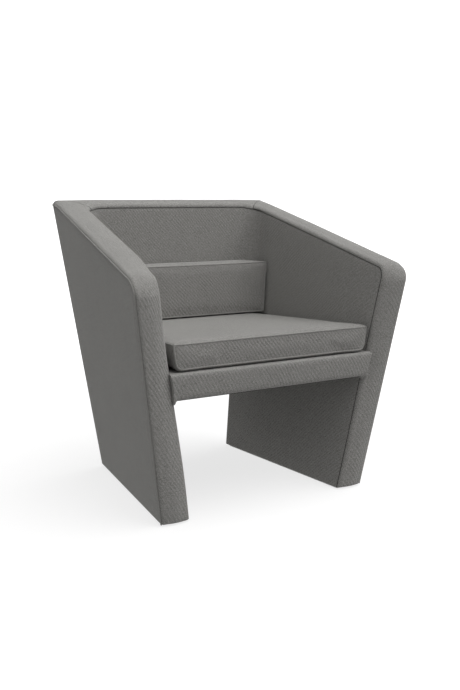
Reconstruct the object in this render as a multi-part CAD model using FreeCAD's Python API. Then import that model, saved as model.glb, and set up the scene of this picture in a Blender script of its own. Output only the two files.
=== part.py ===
import FreeCAD, Part
import math
import os

# Upholstered armchair: two leaning slab sides, a back and a seat base hung between them,
# a loose seat cushion and a loose lumbar pad.
# Millimetres. +Z is up and -Y is the front, so +X is the sitter's left hand.
# The origin lies on the floor under the middle of the chair.
# Node names say left for -X and right for +X, as seen from in front.

V = FreeCAD.Vector

# ---- driving dimensions: the side panels -------------------------------------------------
FLOOR_HALF_WIDTH = 261.7    # outer face of a side at the floor, half way back
LEAN = 0.14                 # how far a side moves outwards for each unit of height
TOE = 0.105                 # how far a side moves outwards for each unit towards the front
SIDE_THICK = 72.0           # thickness of a side, measured along X
REAR_FLOOR_Y = 244.0        # rear edge of a side at the floor
REAR_TOP_Y = 315.6          # rear edge at the crest
FRONT_FLOOR_Y = -241.2      # front seam line at the floor
FRONT_TOP_Y = -304.3        # front seam line where it would meet the arm line
CREST_Z = 730.0             # seam height at the back of the arm
ARM_FRONT_Z = 566.7         # seam height at the front of the arm
FRONT_CORNER_R = 33.0       # rounding of the seam line at the front of the arm
CROWN = 15.0                # how far the padded band stands proud of its seam lines
CROWN_R = 13.5              # shoulder radius of that band
GLIDE_HEIGHT = 5.0          # strip that the side stands on

# ---- driving dimensions: back, seat base, cushion and pad --------------------------------
BACK_THICK = 67.0
BACK_BOTTOM_Z = 280.0
BACK_TOP_SLOPE = 0.178      # fall of the back's top seam towards the front
CORNER_R = 45.0             # hollow rounding between the back and the sides
BASE_DEPTH = 65.0
BASE_FRONT_Z = 365.0        # top of the seat base at its front edge
RAKE = 0.0437               # fall of the seat towards the back
CUSHION_THICK = 65.4
CUSHION_FRONT_Y = -285.0
CUSHION_SIDE_GAP = 3.0
CUSHION_REAR_GAP = 5.0
PAD_BOTTOM_Z = 417.5
PAD_TOP_Z = 566.0
PAD_FRONT_BOTTOM_Y = 129.0  # front face of the lumbar pad at its bottom
PAD_FRONT_TOP_Y = 146.0
PAD_SIDE_GAP = 7.0
PAD_REAR_GAP = 4.2          # room for the hook and loop strips
CLEARANCE = 0.3             # between pieces that come apart

# ---- layers and stock sizes --------------------------------------------------------------
SKIN = 1.5                  # fabric with its lining
EDGE_FOAM = 20.0            # foam round the front and top edges, behind the seam line
OUTER_FOAM = 5.0
BOARD = 3.0
SIDE_FRAME = 43.0
BACK_FRAME = 28.0
BACK_OUTER_FOAM = 4.0
POST = 40.0                 # width of the frame timbers
SEAT_RAIL = 25.0
DECK_FOAM = 10.0
WEB_THICK = 1.5
WEB_WIDE = 50.0
FRONT_FOAM = 7.5
WRAP = 8.0                  # fibre wrapped round the cushion's foam core
CUSHION_SKIN = 1.2
STRIP_THICK = 1.7
REACH = 700.0               # longer than any piece of the chair
BELOW_FLOOR_Z = -100.0      # lower and higher than any piece of the chair
ABOVE_CREST_Z = 900.0
TOUCH = 0.05                # how near a point lies to a plane that it is said to be on

# ---- smaller pieces ----------------------------------------------------------------------
CORNER_FOAM_BOTTOM_Z = 430.0    # just above the seat cushion
BLOCK_LEG = 60.0                # corner blocks of the seat frame
BLOCK_BURY = 10.0
BLOCK_LIFT = 6.0
BLOCK_HEIGHT = 28.0
WEB_STOP = 4.0                  # webbing ends this far from the cover
LONG_WEB_PITCH = 80.0
CROSS_WEB_PITCH = 110.0
CROSS_WEB_FIRST_Y = -200.0
ZIP_WIDE = 8.0
CUSHION_ZIP_LONG = 300.0
PAD_ZIP_LONG = 260.0
PAD_ZIP_RISE = 24.0             # above the pad's bottom
STRIP_WIDE = 40.0               # hook and loop strips, and their places
STRIP_X = 120.0
STRIP_BOTTOM_Z = PAD_BOTTOM_Z + 45.0
STRIP_TOP_Z = PAD_BOTTOM_Z + 115.0
GLIDE_INSET = 6.0
GLIDE_SCREW_Y = (-160.0, -20.0, 120.0)
GLIDE_SCREW_Z = 1.5
SEAT_BOLT_Y = (-170.0, 110.0)
BACK_BOLT_Z = (400.0, 620.0)
SEAT_BOLT_DROP = 4.0            # below the middle of the seat base


# ---- outlines, seen from the side --------------------------------------------------------
# A line is (ny, nz, c) with ny * y + nz * z = c, and its unit normal points into the piece.
def line(start, end):
    """The line from start to end, with its inside on the left."""
    dy = end[0] - start[0]
    dz = end[1] - start[1]
    size = math.hypot(dy, dz)
    ny = -dz / size
    nz = dy / size
    return ny, nz, ny * start[0] + nz * start[1]


def inset(edge, depth):
    """The same line moved inwards by depth, or outwards where depth is negative."""
    ny, nz, c = edge
    return ny, nz, c + depth


def flip(edge):
    """The same line with its inside on the other side."""
    ny, nz, c = edge
    return -ny, -nz, -c


def meet(first, second):
    """The point where two lines cross, as (y, z)."""
    det = first[0] * second[1] - first[1] * second[0]
    y = (first[2] * second[1] - first[1] * second[2]) / det
    z = (first[0] * second[2] - first[2] * second[0]) / det
    return y, z


def level(z):
    """A level line with its inside above it."""
    return 0.0, 1.0, z


FLOOR = level(GLIDE_HEIGHT)
REAR = line((REAR_FLOOR_Y, 0.0), (REAR_TOP_Y, CREST_Z))
TOP = line((REAR_TOP_Y, CREST_Z), (FRONT_TOP_Y, ARM_FRONT_Z))
FRONT = line((FRONT_TOP_Y, ARM_FRONT_Z), (FRONT_FLOOR_Y, 0.0))
BACK_TOP = line((REAR_TOP_Y, CREST_Z), (REAR_TOP_Y - 100.0, CREST_Z - 100.0 * BACK_TOP_SLOPE))
BACK_BOTTOM = level(BACK_BOTTOM_Z)
BACK_FACE = inset(REAR, BACK_THICK)
BASE_TOP = line((0.0, BASE_FRONT_Z + RAKE * CUSHION_FRONT_Y), (CUSHION_FRONT_Y, BASE_FRONT_Z))
BASE_BOTTOM = flip(inset(BASE_TOP, BASE_DEPTH))
PAD_FRONT = line((PAD_FRONT_TOP_Y, PAD_TOP_Z), (PAD_FRONT_BOTTOM_Y, PAD_BOTTOM_Z))


def profile(bottom, rear, top, front, corner_r=0.0):
    """A flat face in the plane x = 0 inside four lines, with its front top corner rounded."""
    corners = [meet(bottom, rear), meet(rear, top), meet(top, front), meet(front, bottom)]
    points = [V(0, y, z) for y, z in corners]
    if corner_r == 0.0:
        return Part.Face(Part.makePolygon(points + points[:1]))
    corner = points[2]
    to_rear = (points[1] - corner).normalize()
    to_floor = (points[3] - corner).normalize()
    half_angle = to_rear.getAngle(to_floor) / 2
    run = corner_r / math.tan(half_angle)
    halfway = (to_rear + to_floor).normalize()
    arc_start = corner + to_rear * run
    arc_middle = corner + halfway * (corner_r / math.sin(half_angle) - corner_r)
    arc_end = corner + to_floor * run
    edges = [
        Part.LineSegment(points[0], points[1]).toShape(),
        Part.LineSegment(points[1], arc_start).toShape(),
        Part.Arc(arc_start, arc_middle, arc_end).toShape(),
        Part.LineSegment(arc_end, points[3]).toShape(),
        Part.LineSegment(points[3], points[0]).toShape(),
    ]
    return Part.Face(Part.Wire(edges))


def bar(bottom, rear, top, front, corner_r=0.0):
    """The outline made into a bar right across the chair."""
    face = profile(bottom, rear, top, front, corner_r)
    face.translate(V(-REACH, 0, 0))
    return face.extrude(V(2 * REACH, 0, 0))


# ---- the leaning planes of the sides -----------------------------------------------------
def side_x(y, z, depth):
    """X of the right-hand side's plane that lies depth inside its outer face."""
    return FLOOR_HALF_WIDTH + LEAN * z - TOE * y - depth


def slab(depth_from, depth_to):
    """Everything in the right-hand side between two depths."""
    corners = [
        (-REACH, BELOW_FLOOR_Z), (REACH, BELOW_FLOOR_Z),
        (REACH, ABOVE_CREST_Z), (-REACH, ABOVE_CREST_Z),
    ]
    points = [V(side_x(y, z, depth_from), y, z) for y, z in corners]
    face = Part.Face(Part.makePolygon(points + points[:1]))
    return face.extrude(V(depth_from - depth_to, 0, 0))


def between(depth):
    """Everything between the two sides' planes at that depth."""
    reach_y = 430.0
    ring = [
        (-reach_y, BELOW_FLOOR_Z), (reach_y, BELOW_FLOOR_Z),
        (reach_y, ABOVE_CREST_Z), (-reach_y, ABOVE_CREST_Z),
    ]
    right = [V(side_x(y, z, depth), y, z) for y, z in ring]
    left = [V(-p.x, p.y, p.z) for p in right]
    faces = [Part.Face(Part.makePolygon(side + side[:1])) for side in (right, left)]
    for i in range(4):
        j = (i + 1) % 4
        loop = [right[i], right[j], left[j], left[i], right[i]]
        faces.append(Part.Face(Part.makePolygon(loop)))
    solid = Part.makeSolid(Part.makeShell(faces))
    if solid.Volume < 0:
        solid.reverse()
    return solid


def mirrored(shape):
    return shape.mirror(V(0, 0, 0), V(1, 0, 0))


def side_piece(outline, depth_from, depth_to, corner_r=0.0):
    """A piece of the right-hand side: an outline seen from the side, between two depths."""
    return bar(*outline, corner_r).common(slab(depth_from, depth_to))


def on_plane(point, depth):
    return abs(point.x - side_x(point.y, point.z, depth)) < TOUCH


def on_line(point, edge):
    return abs(edge[0] * point.y + edge[1] * point.z - edge[2]) < TOUCH


def crowned_side(grow, depth_from, depth_to, rear, bottom, shoulder):
    """The side grown past its seam lines, with both long shoulders rounded."""
    outline = (bottom, rear, inset(TOP, -grow), inset(FRONT, -grow))
    solid = side_piece(outline, depth_from, depth_to, FRONT_CORNER_R + grow)
    shoulders = []
    for edge in solid.Edges:
        middle = edge.valueAt((edge.FirstParameter + edge.LastParameter) / 2)
        on_face = on_plane(middle, depth_from) or on_plane(middle, depth_to)
        if on_face and not on_line(middle, rear) and not on_line(middle, bottom):
            shoulders.append(edge)
    return solid.makeFillet(shoulder, shoulders)


# ---- the nodes ---------------------------------------------------------------------------
nodes = {}


def add_pair(name, right_shape):
    """One node for each side of the chair."""
    nodes["right_" + name] = right_shape
    nodes["left_" + name] = mirrored(right_shape)


def make_side_frame():
    """Five timbers in each side: two posts, and rails at the top, the seat and the floor."""
    outer = SKIN + OUTER_FOAM + BOARD
    inner = outer + SIDE_FRAME
    front = inset(FRONT, EDGE_FOAM)
    rear = inset(REAR, SKIN)
    top = inset(TOP, EDGE_FOAM)
    front_post_back = flip(inset(front, POST))
    rear_post_front = inset(rear, POST)
    under_top_rail = inset(top, POST)
    behind_front_post = flip(front_post_back)
    outlines = {
        "front_post": (FLOOR, front_post_back, under_top_rail, front),
        "rear_post": (FLOOR, rear, under_top_rail, flip(rear_post_front)),
        "top_rail": (flip(under_top_rail), rear, top, front),
        "seat_rail": (BASE_BOTTOM, rear_post_front, BASE_TOP, behind_front_post),
        "bottom_rail": (FLOOR, rear_post_front, flip(inset(FLOOR, POST)), behind_front_post),
    }
    for name, outline in outlines.items():
        add_pair("side_" + name, side_piece(outline, outer, inner))


def make_side_padding():
    """Boards, foam sheets, the shaped edge foam and the fabric cover of each side."""
    core = (FLOOR, inset(REAR, SKIN), inset(TOP, EDGE_FOAM), inset(FRONT, EDGE_FOAM))
    outer_board = SKIN + OUTER_FOAM
    outer_frame = outer_board + BOARD
    inner_board = outer_frame + SIDE_FRAME
    inner_foam = inner_board + BOARD
    inside = SIDE_THICK - SKIN
    add_pair("outer_foam", side_piece(core, SKIN, outer_board))
    add_pair("outer_board", side_piece(core, outer_board, outer_frame))
    add_pair("inner_board", side_piece(core, inner_board, inner_foam))
    add_pair("inner_foam", side_piece(core, inner_foam, inside))

    rear = inset(REAR, SKIN)
    padded = crowned_side(CROWN - SKIN, SKIN, inside, rear, FLOOR, CROWN_R - SKIN)
    add_pair("edge_foam", padded.cut(side_piece(core, 0, SIDE_THICK)))

    skin_outside = crowned_side(CROWN, 0, SIDE_THICK, REAR, FLOOR, CROWN_R)
    below = level(BELOW_FLOOR_Z)
    skin_inside = crowned_side(CROWN - SKIN, SKIN, inside, rear, below, CROWN_R - SKIN)
    add_pair("side_cover", skin_outside.cut(skin_inside))


def screw(place, head_r, head_h, shank_r, length):
    """A screw that points up from place, with a flat head below."""
    head = Part.makeCylinder(head_r, head_h, place)
    return head.fuse(Part.makeCylinder(shank_r, length, place))


def make_glides():
    """A plastic strip under each side, and the screws that hold it up into the bottom rail."""
    outline = (level(0.0), inset(REAR, 2 * GLIDE_INSET),
               flip(level(GLIDE_HEIGHT)), inset(FRONT, GLIDE_INSET / 2))
    strip = side_piece(outline, GLIDE_INSET, SIDE_THICK - GLIDE_INSET)
    head_r, head_h, shank_r, length = 3.5, 2.0, 1.8, 22.0
    screws = []
    for y in GLIDE_SCREW_Y:
        x = side_x(y, 0, SKIN + OUTER_FOAM + BOARD + SIDE_FRAME / 2)
        screws.append(screw(V(x, y, GLIDE_SCREW_Z), head_r, head_h, shank_r, length))
    add_pair("glide_strip", strip)
    nodes["glide_screws"] = Part.makeCompound(screws + [mirrored(s) for s in screws])


def make_back():
    """The back: a timber frame, boards, foam and its fabric cover, hung between the sides."""
    outer_board = SKIN + BACK_OUTER_FOAM
    frame_rear = outer_board + BOARD
    inner_board = frame_rear + BACK_FRAME
    inner_foam = inner_board + BOARD
    inside = BACK_THICK - SKIN
    top = inset(BACK_TOP, EDGE_FOAM)
    bottom = inset(BACK_BOTTOM, SKIN)
    room = between(SIDE_THICK)

    def layer(depth_from, depth_to, low=bottom, high=top):
        return bar(low, inset(REAR, depth_from), high, flip(inset(REAR, depth_to)))

    nodes["back_outer_foam"] = layer(SKIN, outer_board).common(room)
    nodes["back_outer_board"] = layer(outer_board, frame_rear).common(room)
    nodes["back_inner_board"] = layer(inner_board, inner_foam).common(room)
    nodes["back_inner_foam"] = layer(inner_foam, inside).common(room)

    post_room = slab(SIDE_THICK, SIDE_THICK + POST)
    post = layer(frame_rear, inner_board).common(post_room)
    nodes["back_right_post"] = post
    nodes["back_left_post"] = mirrored(post)
    rail_room = between(SIDE_THICK + POST)
    under_top_rail = flip(inset(top, POST))
    over_bottom_rail = flip(inset(bottom, POST))
    top_rail = layer(frame_rear, inner_board, low=under_top_rail)
    nodes["back_top_rail"] = top_rail.common(rail_room)
    bottom_rail = layer(frame_rear, inner_board, high=over_bottom_rail)
    nodes["back_bottom_rail"] = bottom_rail.common(rail_room)

    padded = crowned_back(CROWN - SKIN, SKIN, inside, bottom, room, CROWN_R - SKIN)
    core = layer(0.0, BACK_THICK)
    nodes["back_edge_foam"] = padded.cut(core)
    skin_outside = crowned_back(CROWN, 0.0, BACK_THICK, BACK_BOTTOM, room, CROWN_R)
    below = level(BACK_BOTTOM_Z - 50.0)
    skin_room = between(SIDE_THICK - 5.0)
    skin_inside = crowned_back(CROWN - SKIN, SKIN, inside, below, skin_room, CROWN_R - SKIN)
    nodes["back_cover"] = skin_outside.cut(skin_inside)


def crowned_back(grow, depth_from, depth_to, bottom, room, shoulder):
    """The back grown above its top seam lines, with both long shoulders rounded."""
    rear = inset(REAR, depth_from)
    front = flip(inset(REAR, depth_to))
    top = inset(BACK_TOP, -grow)
    solid = bar(bottom, rear, top, front)
    shoulders = []
    for edge in solid.Edges:
        middle = edge.valueAt((edge.FirstParameter + edge.LastParameter) / 2)
        if on_line(middle, top) and (on_line(middle, rear) or on_line(middle, front)):
            shoulders.append(edge)
    return solid.makeFillet(shoulder, shoulders).common(room)


def make_corner_foam():
    """A foam fillet up each inner corner, hollowed to the corner's radius."""
    low = level(CORNER_FOAM_BOTTOM_Z)
    high = inset(BACK_TOP, EDGE_FOAM)
    block = bar(low, inset(REAR, BACK_THICK), high, flip(inset(REAR, BACK_THICK + CORNER_R)))
    block = block.common(slab(SIDE_THICK, SIDE_THICK + CORNER_R))
    rows = []
    for z in (BACK_BOTTOM_Z, CREST_Z + CORNER_R):
        y = meet(inset(REAR, BACK_THICK + CORNER_R), level(z))[0]
        rows.append(V(side_x(y, z, SIDE_THICK + CORNER_R), y, z))
    run = rows[1] - rows[0]
    hollow = Part.makeCylinder(CORNER_R, run.Length, rows[0], run)
    foam = max(block.cut(hollow).Solids, key=lambda solid: solid.Volume)
    nodes["corner_foam"] = Part.makeCompound([foam, mirrored(foam)])


def make_seat_base():
    """The seat base: rails, webbing, a thin deck pad, its cover and the dust cover."""
    rails_top = SKIN + DECK_FOAM + 2 * WEB_THICK
    rails_bottom = BASE_DEPTH - SKIN
    rail_front = SKIN + FRONT_FOAM
    room = between(SIDE_THICK)
    inner_room = between(SIDE_THICK + SEAT_RAIL)

    def layer(depth_from, depth_to, rear=BACK_FACE, front=FRONT):
        return bar(flip(inset(BASE_TOP, depth_to)), rear, inset(BASE_TOP, depth_from), front)

    front = inset(FRONT, rail_front)
    front_rail = layer(rails_top, rails_bottom, flip(inset(front, SEAT_RAIL)), front)
    rear_rail_front = inset(BACK_FACE, SEAT_RAIL)
    rear_rail = layer(rails_top, rails_bottom, BACK_FACE, flip(rear_rail_front))
    side_rail = layer(rails_top, rails_bottom, rear_rail_front, inset(front, SEAT_RAIL))
    nodes["seat_front_rail"] = front_rail.common(room)
    nodes["seat_rear_rail"] = rear_rail.common(room)
    side_rail = side_rail.common(slab(SIDE_THICK, SIDE_THICK + SEAT_RAIL))
    nodes["seat_right_rail"] = side_rail
    nodes["seat_left_rail"] = mirrored(side_rail)

    rails = Part.makeCompound([nodes["seat_front_rail"], nodes["seat_rear_rail"], side_rail])
    blocks = []
    corner_edges = ((inset(front, SEAT_RAIL), 1.0), (rear_rail_front, -1.0))
    for edge, towards in corner_edges:
        y, z = meet(edge, inset(BASE_TOP, rails_bottom))
        x = side_x(y, z, SIDE_THICK + SEAT_RAIL)
        z += BLOCK_LIFT
        corner = V(x + BLOCK_BURY, y - BLOCK_BURY * towards, z)
        along_side = V(x + BLOCK_BURY, y + BLOCK_LEG * towards, z)
        along_rail = V(x - BLOCK_LEG, y - BLOCK_BURY * towards, z)
        wire = Part.makePolygon([corner, along_side, along_rail, corner])
        wedge = Part.Face(wire).extrude(V(0, 0, BLOCK_HEIGHT))
        blocks.append(wedge.cut(rails))
    nodes["corner_blocks"] = Part.makeCompound(blocks + [mirrored(b) for b in blocks])

    web_level = SKIN + DECK_FOAM
    rear_stop = inset(BACK_FACE, WEB_STOP)
    front_stop = inset(FRONT, rail_front + WEB_STOP)
    long_band = layer(web_level, web_level + WEB_THICK, rear_stop, front_stop)
    straps = []
    for i in range(-2, 3):
        x = i * LONG_WEB_PITCH - WEB_WIDE / 2
        box = Part.makeBox(WEB_WIDE, 2 * REACH, REACH, V(x, -REACH, 0))
        straps.append(long_band.common(box))
    nodes["webbing_long"] = Part.makeCompound(straps)
    cross_room = between(SIDE_THICK + WEB_STOP)
    straps = []
    for i in range(4):
        y = CROSS_WEB_FIRST_Y + i * CROSS_WEB_PITCH
        box = Part.makeBox(2 * REACH, WEB_WIDE, REACH, V(-REACH, y, 0))
        cross_band = layer(web_level + WEB_THICK, web_level + 2 * WEB_THICK)
        straps.append(cross_band.common(cross_room).common(box))
    nodes["webbing_cross"] = Part.makeCompound(straps)

    skin_front = inset(FRONT, SKIN)
    padding_room = between(SIDE_THICK + SKIN)
    deck = layer(SKIN, web_level, inset(BACK_FACE, SKIN), skin_front)
    nodes["seat_deck_pad"] = deck.common(padding_room)
    rail_pad = layer(web_level, rails_bottom, flip(front), skin_front)
    nodes["seat_front_foam"] = rail_pad.common(room)
    whole = layer(0.0, rails_bottom).common(room)
    hollow = layer(SKIN, REACH / 2, inset(BACK_FACE, SKIN), skin_front)
    sides_open_below = layer(web_level, REACH / 2, BACK_FACE, skin_front).common(room)
    nodes["seat_base_cover"] = whole.cut(hollow.common(padding_room)).cut(sides_open_below)
    nodes["dust_cover"] = layer(rails_bottom, BASE_DEPTH).common(room)


def soft_block(outline, room, corner_r, rear_corner_r, edge_r):
    """A cushion-like block: rounded upright corners, then rounded top and bottom edges."""
    solid = bar(*outline).common(room)
    front, rear = outline[3], outline[1]
    for face_line, radius in ((rear, rear_corner_r), (front, corner_r)):
        upright = []
        for edge in solid.Edges:
            start = edge.valueAt(edge.FirstParameter)
            if abs(edge.tangentAt(edge.FirstParameter).z) > 0.9 and on_line(start, face_line):
                upright.append(edge)
        solid = solid.makeFillet(radius, upright)
    flat_edges = []
    for e in solid.Edges:
        middle = e.valueAt((e.FirstParameter + e.LastParameter) / 2)
        if on_line(middle, outline[0]) or on_line(middle, outline[2]):
            flat_edges.append(e)
    return solid.makeFillet(edge_r, flat_edges)


def shrunk(outline, depth):
    return tuple(inset(edge, depth) for edge in outline)


def make_seat_cushion():
    """The loose seat cushion: foam core, fibre wrap, cover and the zip at its back."""
    bottom = flip(inset(BASE_TOP, -CLEARANCE))
    top = inset(BASE_TOP, -CLEARANCE - CUSHION_THICK)
    front = line((CUSHION_FRONT_Y, CREST_Z), (CUSHION_FRONT_Y, 0.0))
    rear = inset(BACK_FACE, CUSHION_REAR_GAP)
    outline = (bottom, rear, top, front)
    gap = SIDE_THICK + CUSHION_SIDE_GAP
    radii = (18.0, 52.0, 9.0)
    cover = soft_block(outline, between(gap), *radii)
    inner_radii = [r - CUSHION_SKIN for r in radii]
    inside = soft_block(shrunk(outline, CUSHION_SKIN), between(gap + CUSHION_SKIN), *inner_radii)
    foam_outline = shrunk(outline, CUSHION_SKIN + WRAP)
    foam_room = between(gap + CUSHION_SKIN)
    foam = bar(*foam_outline).common(foam_room).common(inside)
    zip_rear = (
        flip(inset(BASE_TOP, (ZIP_WIDE - CUSHION_THICK) / 2)),
        rear,
        inset(BASE_TOP, -(ZIP_WIDE + CUSHION_THICK) / 2),
        flip(inset(rear, CUSHION_SKIN)),
    )
    zip_span = Part.makeBox(CUSHION_ZIP_LONG, REACH, REACH, V(-CUSHION_ZIP_LONG / 2, 0, 0))
    zip_strip = bar(*zip_rear).common(zip_span)
    nodes["cushion_cover"] = cover.cut(inside).cut(zip_strip)
    nodes["cushion_foam"] = foam
    nodes["cushion_wrap"] = inside.cut(bar(*foam_outline))
    nodes["cushion_zip"] = zip_strip


def make_lumbar_pad():
    """The loose lumbar pad, with its zip, and the strips that hold it to the back."""
    rear = inset(BACK_FACE, PAD_REAR_GAP)
    outline = (level(PAD_BOTTOM_Z), rear, flip(level(PAD_TOP_Z)), PAD_FRONT)
    gap = SIDE_THICK + PAD_SIDE_GAP
    radii = (14.0, 50.0, 9.0)
    cover = soft_block(outline, between(gap), *radii)
    inner_radii = [r - CUSHION_SKIN for r in radii]
    foam = soft_block(shrunk(outline, CUSHION_SKIN), between(gap + CUSHION_SKIN), *inner_radii)
    zip_low = PAD_BOTTOM_Z + PAD_ZIP_RISE
    zip_top = flip(level(zip_low + ZIP_WIDE))
    zip_outline = (level(zip_low), rear, zip_top, flip(inset(rear, CUSHION_SKIN)))
    zip_span = Part.makeBox(PAD_ZIP_LONG, REACH, REACH, V(-PAD_ZIP_LONG / 2, 0, 0))
    zip_strip = bar(*zip_outline).common(zip_span)
    nodes["pad_cover"] = cover.cut(foam).cut(zip_strip)
    nodes["pad_foam"] = foam
    nodes["pad_zip"] = zip_strip

    low = level(STRIP_BOTTOM_Z)
    high = flip(level(STRIP_TOP_Z))
    hooks = bar(low, BACK_FACE, high, flip(inset(BACK_FACE, STRIP_THICK)))
    loop_back = inset(BACK_FACE, STRIP_THICK + CLEARANCE)
    loops = bar(low, loop_back, high, flip(rear))
    places = [V(x - STRIP_WIDE / 2, 0, 0) for x in (-STRIP_X, STRIP_X)]
    boxes = [Part.makeBox(STRIP_WIDE, REACH, REACH, place) for place in places]
    nodes["back_hook_strips"] = Part.makeCompound([hooks.common(b) for b in boxes])
    nodes["pad_loop_strips"] = Part.makeCompound([loops.common(b) for b in boxes])


def make_fasteners():
    """Bolts that hang the seat base and the back on the sides, each with its barrel nut."""
    head_r, head_h, shank_r = 7.0, 5.0, 4.0
    nut_r, nut_h, nut_back = 5.0, 16.0, 9.0
    bolts, nuts = [], []
    into_nut = 12.0
    back_line = inset(REAR, SKIN + BACK_OUTER_FOAM + BOARD + BACK_FRAME / 2)
    seat_z = BASE_FRONT_Z - BASE_DEPTH / 2 - SEAT_BOLT_DROP
    places = []
    for y in SEAT_BOLT_Y:
        places.append((y, seat_z - RAKE * (y - SEAT_BOLT_Y[0]), SEAT_RAIL))
    for z in BACK_BOLT_Z:
        places.append((meet(back_line, level(z))[0], z, POST))
    for y, z, rail in places:
        tail = side_x(y, z, SKIN + OUTER_FOAM + BOARD + into_nut)
        start = side_x(y, z, SIDE_THICK + rail) - head_h
        shank = Part.makeCylinder(shank_r, tail - start, V(start, y, z), V(1, 0, 0))
        head = Part.makeCylinder(head_r, head_h, V(start, y, z), V(1, 0, 0))
        bolt = head.fuse(shank)
        nut = Part.makeCylinder(nut_r, nut_h, V(tail - nut_back, y, z - nut_h / 2))
        bolts.append(bolt)
        nuts.append(nut.cut(bolt))
    nodes["frame_bolts"] = Part.makeCompound(bolts + [mirrored(b) for b in bolts])
    nodes["barrel_nuts"] = Part.makeCompound(nuts + [mirrored(n) for n in nuts])


def open_for_fasteners():
    """Gives every screw, bolt and nut its hole in the pieces that it passes through."""
    hardware = ("glide_screws", "frame_bolts", "barrel_nuts")
    tools = [solid for name in hardware for solid in nodes[name].Solids]
    for name, shape in nodes.items():
        if name in hardware:
            continue
        for tool in tools:
            if shape.BoundBox.intersect(tool.BoundBox):
                shape = shape.cut(tool)
        nodes[name] = shape


make_side_frame()
make_side_padding()
make_glides()
make_back()
make_corner_foam()
make_seat_base()
make_seat_cushion()
make_lumbar_pad()
make_fasteners()
open_for_fasteners()

os.makedirs("parts", exist_ok=True)
for name, shape in nodes.items():
    shape.exportStep("parts/" + name + ".step")
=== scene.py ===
import math

import bmesh
import bpy
import numpy as np
from mathutils import Euler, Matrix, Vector, noise
from mathutils.bvhtree import BVHTree


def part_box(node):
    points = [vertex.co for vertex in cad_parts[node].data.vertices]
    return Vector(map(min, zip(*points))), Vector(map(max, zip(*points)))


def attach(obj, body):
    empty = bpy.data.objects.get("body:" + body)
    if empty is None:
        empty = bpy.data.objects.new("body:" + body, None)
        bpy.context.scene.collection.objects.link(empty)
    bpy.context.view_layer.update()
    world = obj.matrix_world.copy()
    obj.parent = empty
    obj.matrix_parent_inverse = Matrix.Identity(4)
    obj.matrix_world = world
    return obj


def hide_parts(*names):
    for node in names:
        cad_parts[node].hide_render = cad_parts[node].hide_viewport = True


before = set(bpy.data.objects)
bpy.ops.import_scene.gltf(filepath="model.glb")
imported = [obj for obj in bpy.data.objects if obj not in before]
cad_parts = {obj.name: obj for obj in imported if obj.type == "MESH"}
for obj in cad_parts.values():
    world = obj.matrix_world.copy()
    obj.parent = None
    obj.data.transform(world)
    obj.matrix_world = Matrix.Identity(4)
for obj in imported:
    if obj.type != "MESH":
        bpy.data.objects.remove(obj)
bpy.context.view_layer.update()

# Driving dimensions of the armchair, in metres.
FLOOR_HALF_WIDTH = 0.2617
LEAN = 0.14
TOE = 0.105
SIDE_THICK = 0.072
REAR_FLOOR_Y = 0.2440
REAR_TOP_Y = 0.3156
FRONT_FLOOR_Y = -0.2412
FRONT_TOP_Y = -0.3043
CREST_Z = 0.730
ARM_FRONT_Z = 0.5667
FRONT_CORNER_R = 0.033
BACK_THICK = 0.067
BACK_BOTTOM_Z = 0.280
BACK_TOP_SLOPE = 0.178
CORNER_R = 0.045
BASE_FRONT_Z = 0.365
RAKE = 0.0437
CUSHION_THICK = 0.0654
CUSHION_FRONT_Y = -0.285
CUSHION_SIDE_GAP = 0.003
CUSHION_REAR_GAP = 0.005
PAD_BOTTOM_Z = 0.4175
PAD_TOP_Z = 0.566
PAD_FRONT_BOTTOM_Y = 0.129
PAD_FRONT_TOP_Y = 0.146
PAD_SIDE_GAP = 0.007
PAD_REAR_GAP = 0.0042

# Padded band along the arms, down their front edges and over the back.
BAND_WIDTH = 0.070
EDGE_ROUND = 0.0125
EDGE_RISE = 0.0115
DOME_RISE = 0.0035
INNER_RAISE = 0.0035
SEAM_DIP = 0.0014
BAND_WOBBLE = 0.0007
WOBBLE_SCALE = 14.0
BEND_LOSS = 0.22
MITRE_SHARE = 0.90

# Rear corners, where the bands of an arm and the back meet in a mitre.
FAN_START_Y = 0.150
MITRE_ANGLE = math.radians(48.0)
TANGENT_ANGLE = math.atan(TOE)
CORNER_DROP = 0.006
FLAT_SHARE = 0.80
PAST_STEPS = 6

# Front ends of the sides: the inner face draws back, and the foot rounds in.
TAPER_START_Y = -0.150
TAPER_RUN_Y = 0.130
TAPER_START_Z = 0.050
TAPER_RUN_Z = 0.420
TAPER_DEPTH = 0.009
TAPER_SETBACK = 0.015
FOOT_ROUND = 0.011
FOOT_SHARE = 0.45

# Cloth wrapped just past the timber under and behind each side.
SIDE_BOTTOM_Z = 0.0042
REAR_INSET = 0.0003

# Large faces: how far they swell and ripple, and how soon behind the seam.
PANEL_SWELL = 0.0026
PANEL_EDGE = 0.020
PANEL_RIPPLE = 0.0009
PANEL_FINE_RIPPLE = 0.00035
BACK_PROUD = 0.0012
BACK_SWELL = 0.0025

# Seat rail: the swell of its face, and the hollow under each end where it meets a leg.
RAIL_HALF_HEIGHT = 0.0325
RAIL_SWELL = 0.011
RAIL_RIPPLE = 0.0005
RAIL_BURY = 0.004
RAIL_END_SHARE = 0.93
HOLLOW_R = 0.010
DECK_THICK = 0.022
OUTLINE_STEPS = 4

# Loose cushion and pad.
CLEARANCE = 0.0008
VOXEL = 0.0045
PRESSURE = 4.0
CUSHION_INSET = 0.0025
CUSHION_REAR_Z = 0.39
CUSHION_CAP = 0.004
CUSHION_DOME = 0.0015
PAD_OUTSET = 0.002
PAD_LIFT = 0.0025
PAD_CAP = 0.0025
PAD_SEAT_GAP = 0.0045

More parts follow.
